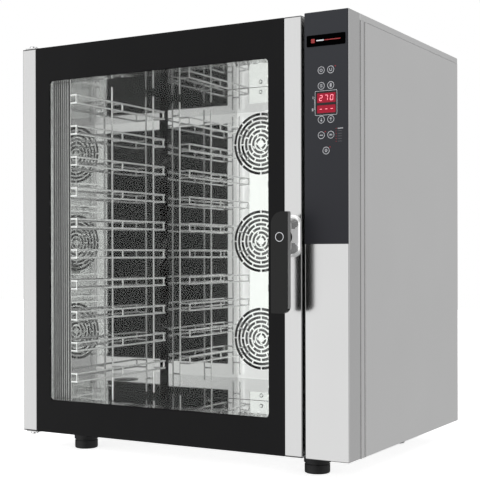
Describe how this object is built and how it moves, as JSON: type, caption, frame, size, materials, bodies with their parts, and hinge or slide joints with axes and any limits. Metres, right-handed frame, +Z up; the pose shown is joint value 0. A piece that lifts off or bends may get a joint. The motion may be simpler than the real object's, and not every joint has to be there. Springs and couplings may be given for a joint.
{
  "type": "combi steamer oven",
  "caption": "Floor-standing combi steamer oven with a glazed side-hung door, turning lever handle, control column, wire tray supports and wall fans behind a slotted baffle.",
  "frame": {"origin": "on the floor under the middle of the overall box, door closed", "axes": "+Z up, the door and controls face -Y, +X to the right seen from the front"},
  "size_m": [0.92, 0.81, 1.04],
  "materials": {
    "steel_satin": "satin brushed stainless",
    "steel_brushed": "vertical brushed stainless",
    "steel_mirror": "bright mirror stainless",
    "chrome_wire": "bright electropolished wire",
    "chrome_cast": "polished chrome plate",
    "steel_pipe": "drawn stainless tube",
    "galvanised": "zinc plated, dull",
    "heater_sheath": "heat-tinted steel sheath",
    "glass_dark": "tempered glass with a black printed border",
    "glass_clear": "clear tempered glass",
    "lamp_glass": "frosted lamp glass",
    "gasket_rubber": "black silicone",
    "foot_rubber": "black moulded",
    "insulation": "mineral wool blanket",
    "overlay_film": "graphite textured film",
    "key_film": "graphite embossed film",
    "display_black": "dark red tinted window",
    "circuit_green": "green circuit board",
    "badge_gloss": "black gloss plate",
    "handle_plastic": "black moulded, fine grain",
    "fitting_brass": "turned brass",
    "fitting_plastic": "black nylon"
  },
  "bodies": {
    "root": {"front_frame": "steel_satin", "side_panel_left": "steel_satin", "side_panel_right": "steel_satin", "rear_cover": "steel_satin", "top_cover": "steel_satin", "control_column": "steel_satin", "hinge_bracket_top": "steel_satin", "hinge_bracket_bottom": "steel_satin", "cavity_liner": "steel_mirror", "fan_baffle": "steel_mirror", "rack_left": "chrome_wire", "rack_right": "chrome_wire", "hinge_pin_top": "chrome_cast", "hinge_pin_bottom": "chrome_cast", "drain_strainer": "steel_pipe", "drain_pipe": "steel_pipe", "vent_outlet": "steel_pipe", "water_injector": "steel_pipe", "base_pan": "galvanised", "fan_motor_lower": "galvanised", "fan_motor_middle": "galvanised", "fan_motor_upper": "galvanised", "latch_keeper": "galvanised", "ring_heater_lower": "heater_sheath", "ring_heater_middle": "heater_sheath", "ring_heater_upper": "heater_sheath", "cavity_lamp": "lamp_glass", "foot_front_left": "foot_rubber", "foot_front_right": "foot_rubber", "foot_rear_left": "foot_rubber", "foot_rear_right": "foot_rubber", "insulation_wrap": "insulation", "control_overlay": "overlay_film", "display_module": "display_black", "control_board": "circuit_green", "badge_plate": "badge_gloss", "water_inlet": "fitting_brass", "cable_gland": "fitting_plastic"},
    "door": {"door_profile_left": "steel_brushed", "door_profile_right": "steel_brushed", "outer_glass": "glass_dark", "inner_glass": "glass_clear", "door_frame": "steel_satin", "door_gasket": "gasket_rubber", "handle_base": "chrome_cast"},
    "handle": {"handle_lever": "handle_plastic", "latch_shaft": "galvanised", "latch_cam": "galvanised"},
    "fan_lower": {"fan_impeller_lower": "steel_mirror"},
    "fan_middle": {"fan_impeller_middle": "steel_mirror"},
    "fan_upper": {"fan_impeller_upper": "steel_mirror"},
    "key_power": {"key_power": "key_film"},
    "key_steam": {"key_steam": "key_film"},
    "key_program": {"key_program": "key_film"},
    "key_fan": {"key_fan": "key_film"},
    "key_down": {"key_down": "key_film"},
    "key_up": {"key_up": "key_film"},
    "key_timer": {"key_timer": "key_film"},
    "key_phase": {"key_phase": "key_film"},
    "key_light": {"key_light": "key_film"}
  },
  "joints": [
    {"name": "door_hinge", "type": "hinge", "parent": "root", "child": "door", "pos_m": [-0.44, -0.321, 0.538], "axis": [0, 0, -1], "range_deg": [0, 130]},
    {"name": "handle_turn", "type": "hinge", "parent": "door", "child": "handle", "pos_m": [0.3235, -0.391, 0.5385], "axis": [0, 1, 0], "range_deg": [0, 90]},
    {"name": "fan_spin_lower", "type": "hinge", "parent": "root", "child": "fan_lower", "pos_m": [-0.055, 0.239, 0.263], "axis": [0, 1, 0], "continuous": true},
    {"name": "fan_spin_middle", "type": "hinge", "parent": "root", "child": "fan_middle", "pos_m": [-0.055, 0.239, 0.538], "axis": [0, 1, 0], "continuous": true},
    {"name": "fan_spin_upper", "type": "hinge", "parent": "root", "child": "fan_upper", "pos_m": [-0.055, 0.239, 0.813], "axis": [0, 1, 0], "continuous": true},
    {"name": "key_power_press", "type": "slide", "parent": "root", "child": "key_power", "axis": [0, 1, 0], "range_m": [0, 0.0005], "stiffness_N_per_m": 600},
    {"name": "key_steam_press", "type": "slide", "parent": "root", "child": "key_steam", "axis": [0, 1, 0], "range_m": [0, 0.0005], "stiffness_N_per_m": 600},
    {"name": "key_program_press", "type": "slide", "parent": "root", "child": "key_program", "axis": [0, 1, 0], "range_m": [0, 0.0005], "stiffness_N_per_m": 600},
    {"name": "key_fan_press", "type": "slide", "parent": "root", "child": "key_fan", "axis": [0, 1, 0], "range_m": [0, 0.0005], "stiffness_N_per_m": 600},
    {"name": "key_down_press", "type": "slide", "parent": "root", "child": "key_down", "axis": [0, 1, 0], "range_m": [0, 0.0005], "stiffness_N_per_m": 600},
    {"name": "key_up_press", "type": "slide", "parent": "root", "child": "key_up", "axis": [0, 1, 0], "range_m": [0, 0.0005], "stiffness_N_per_m": 600},
    {"name": "key_timer_press", "type": "slide", "parent": "root", "child": "key_timer", "axis": [0, 1, 0], "range_m": [0, 0.0005], "stiffness_N_per_m": 600},
    {"name": "key_phase_press", "type": "slide", "parent": "root", "child": "key_phase", "axis": [0, 1, 0], "range_m": [0, 0.0005], "stiffness_N_per_m": 600},
    {"name": "key_light_press", "type": "slide", "parent": "root", "child": "key_light", "axis": [0, 1, 0], "range_m": [0, 0.0005], "stiffness_N_per_m": 600}
  ]
}
